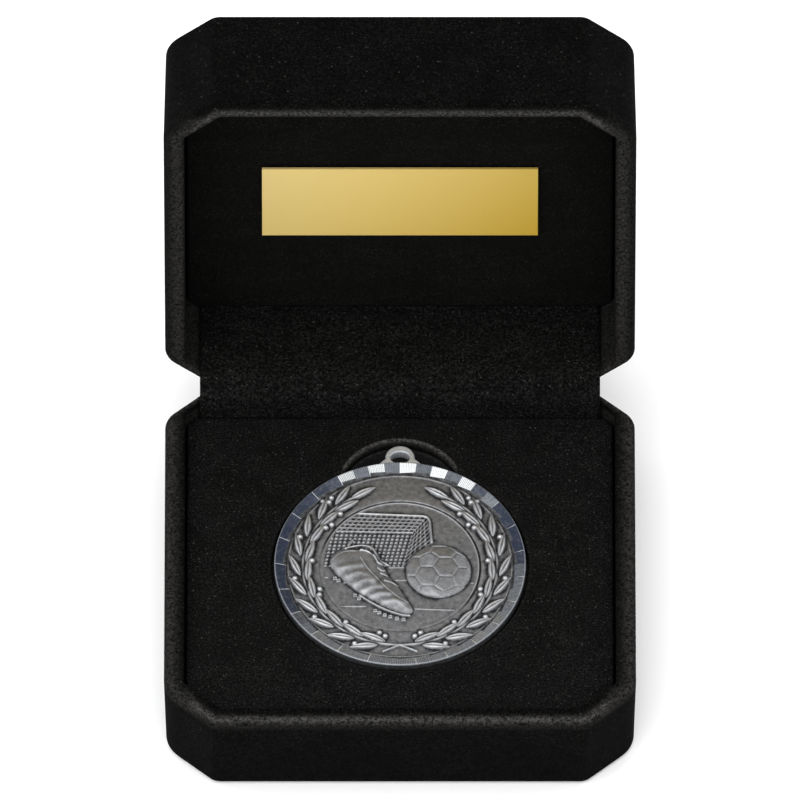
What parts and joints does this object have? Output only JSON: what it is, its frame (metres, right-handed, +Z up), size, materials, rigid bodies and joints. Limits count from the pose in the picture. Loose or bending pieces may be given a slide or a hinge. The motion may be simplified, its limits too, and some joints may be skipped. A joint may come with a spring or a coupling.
{
  "type": "cased medal",
  "caption": "Octagonal flocked presentation case with a sprung hinged lid and a blank plate, holding a round loop-topped silver-coloured medal in a recessed pad with a finger notch.",
  "frame": {"origin": "centre of the base's flat underside", "axes": "+X to the right, +Y from the front towards the hinge and the standing lid, +Z up"},
  "size_m": [0.0936, 0.1152, 0.1034],
  "materials": {
    "flocked_shell": "black flocking",
    "velvet": "black velvet pile",
    "foam": "open-cell foam",
    "plate_gold": "satin",
    "adhesive": "foam tape",
    "hinge_steel": "plain",
    "medal_silver": "antique silver, polished facets"
  },
  "bodies": {
    "base": {"base_shell": "flocked_shell", "tray_block": "foam", "tray_pad": "velvet", "hinge_leaf_base": "hinge_steel", "hinge_pin": "hinge_steel", "snap_spring": "hinge_steel", "base_rivet_left": "hinge_steel", "base_rivet_centre": "hinge_steel", "base_rivet_right": "hinge_steel", "hinge_flap": "velvet"},
    "lid": {"lid_shell": "flocked_shell", "lid_foam": "foam", "lid_panel": "velvet", "plate_adhesive": "adhesive", "engraving_plate": "plate_gold", "hinge_leaf_lid": "hinge_steel", "lid_rivet_left": "hinge_steel", "lid_rivet_centre": "hinge_steel", "lid_rivet_right": "hinge_steel"},
    "medal": {"medal": "medal_silver"}
  },
  "joints": [
    {"name": "lid_hinge", "type": "hinge", "parent": "base", "child": "lid", "pos_m": [0, 0.0415, 0.02095], "axis": [1, 0, 0], "range_deg": [0, 95.4], "deforming": ["hinge_flap"]},
    {"name": "medal_lift", "type": "slide", "parent": "base", "child": "medal", "axis": [0, 0, 1], "range_m": [0, 0.015]}
  ]
}
